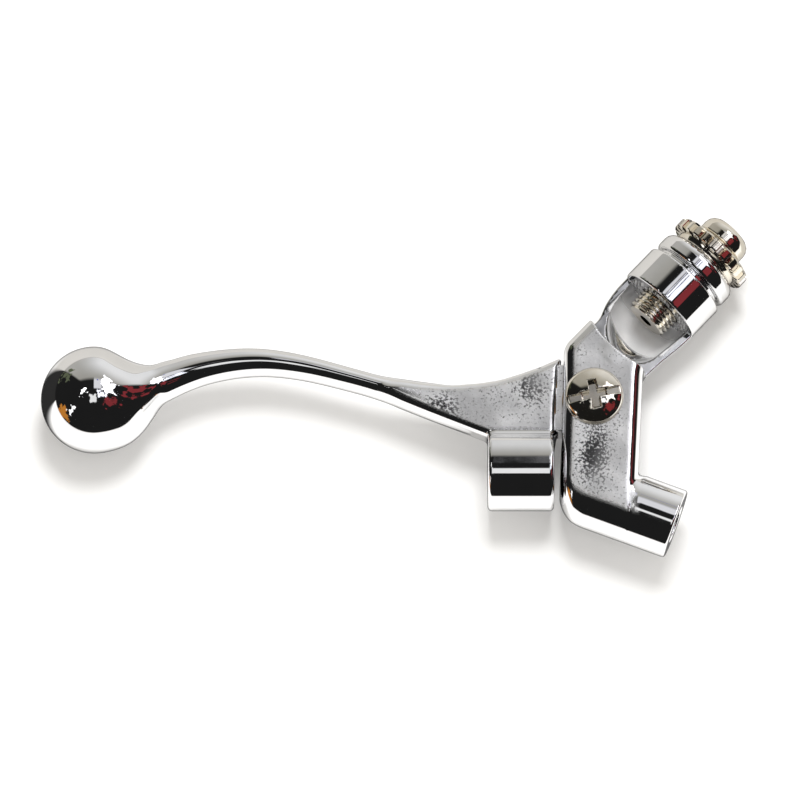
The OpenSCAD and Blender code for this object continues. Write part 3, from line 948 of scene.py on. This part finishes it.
def make_floor():
    """The white table, under the ball.

    Reflections see it in painted shade: to glossy rays its colour is painted near black to the left and grey to
    the back, standing in for a table in a darker room."""
    height = (-BALL_R - 0.02) * MM
    size = 3.0
    corners = [(-size, -size, height), (size, -size, height), (size, size, height),
               (-size, size, height)]
    mesh = bpy.data.meshes.new("floor")
    mesh.from_pydata(corners, [], [(0, 1, 2, 3)])
    floor = bpy.data.objects.new("floor", mesh)
    bpy.context.scene.collection.objects.link(floor)
    material = bpy.data.materials.new("floor_paper")
    material.use_nodes = True
    g = Graph(material.node_tree)
    where = g.add("ShaderNodeTexCoord", out=3)
    shade = g.mix(g.noise(where, 40.0, 2.0), (0.90, 0.90, 0.895, 1), (0.93, 0.93, 0.93, 1))
    x, y, _ = axes_of(g, where)
    # Painted shade seen only in reflections: grey behind the object, near black beyond its left
    behind = g.ramp(y, PIVOT[1] + 0.006, PIVOT[1] + 0.030)
    corner = PIVOT[0] + PIVOT[1]
    beyond = g.math("MULTIPLY", g.ramp(g.math("ADD", x, y), corner - 0.105, corner - 0.114),
                    g.ramp(y, PIVOT[1] - 0.012, PIVOT[1] - 0.002))
    mirrored = g.mix(behind, shade, (0.50, 0.49, 0.47, 1))
    mirrored = g.mix(beyond, mirrored, (0.02, 0.02, 0.02, 1))
    path = g.tree.nodes.new("ShaderNodeLightPath")
    shade = g.mix(path.outputs["Is Glossy Ray"], shade, mirrored)
    shader = g.tree.nodes.new("ShaderNodeBsdfDiffuse")
    g.put(shader.inputs["Color"], shade)
    g.surface(shader.outputs[0])
    mesh.materials.append(material)


def make_light():
    """One soft panel high behind the object, which throws the shadow forward."""
    data = bpy.data.lights.new("key", "AREA")
    data.shape = "DISK"
    data.size = 0.40
    data.energy = 7.5
    light = bpy.data.objects.new("key", data)
    bpy.context.scene.collection.objects.link(light)
    aim = Vector(PIVOT) + Vector((-0.03, 0, 0))
    light.location = aim + Vector(towards(82, 67)) * 1.1
    light.rotation_euler = (aim - light.location).to_track_quat("-Z", "Y").to_euler()
    light.visible_glossy = False


VIEW_W = 0.172                     # width of the view at the object, in metres
VIEW_MIDDLE = (-41.6, 1.2, 0)      # from the pivot, in millimetres
VIEW_UP = 75                       # the camera's elevation, in degrees


def make_camera():
    """A long lens from the front, high above the floor."""
    data = bpy.data.cameras.new("camera")
    data.lens = 400.0
    data.sensor_width = 36.0
    camera = bpy.data.objects.new("camera", data)
    bpy.context.scene.collection.objects.link(camera)
    aim = Vector(PIVOT) + Vector(VIEW_MIDDLE) * MM
    distance = VIEW_W * data.lens / data.sensor_width
    camera.location = aim + Vector(towards(-90, VIEW_UP)) * distance
    camera.rotation_euler = (aim - camera.location).to_track_quat("-Z", "Y").to_euler()
    data.clip_end = 20.0
    bpy.context.scene.camera = camera


def keep_node(node, finish):
    """Gives a CAD node that stays as it is a proper finish."""
    mesh = frame["nodes"][node].data
    mesh.materials.clear()
    mesh.materials.append(finish)


finishes = make_materials()
make_lever(finishes["chrome"])
make_perch(finishes["chrome"])
make_spigot_thread(finishes["zinc"])
make_lock_ring(finishes["ring"])
make_adjuster(finishes["nickel"])
make_ferrule(finishes["nickel"])
make_screw(finishes["nickel"])
make_nut(finishes["zinc"])
make_lock_washer(finishes["zinc"])
for bearing in ("pivot_bush", "thrust_washers"):
    keep_node(bearing, finishes["bronze"])
make_world()
make_floor()
make_light()
make_camera()
bpy.context.scene.view_settings.view_transform = "Standard"
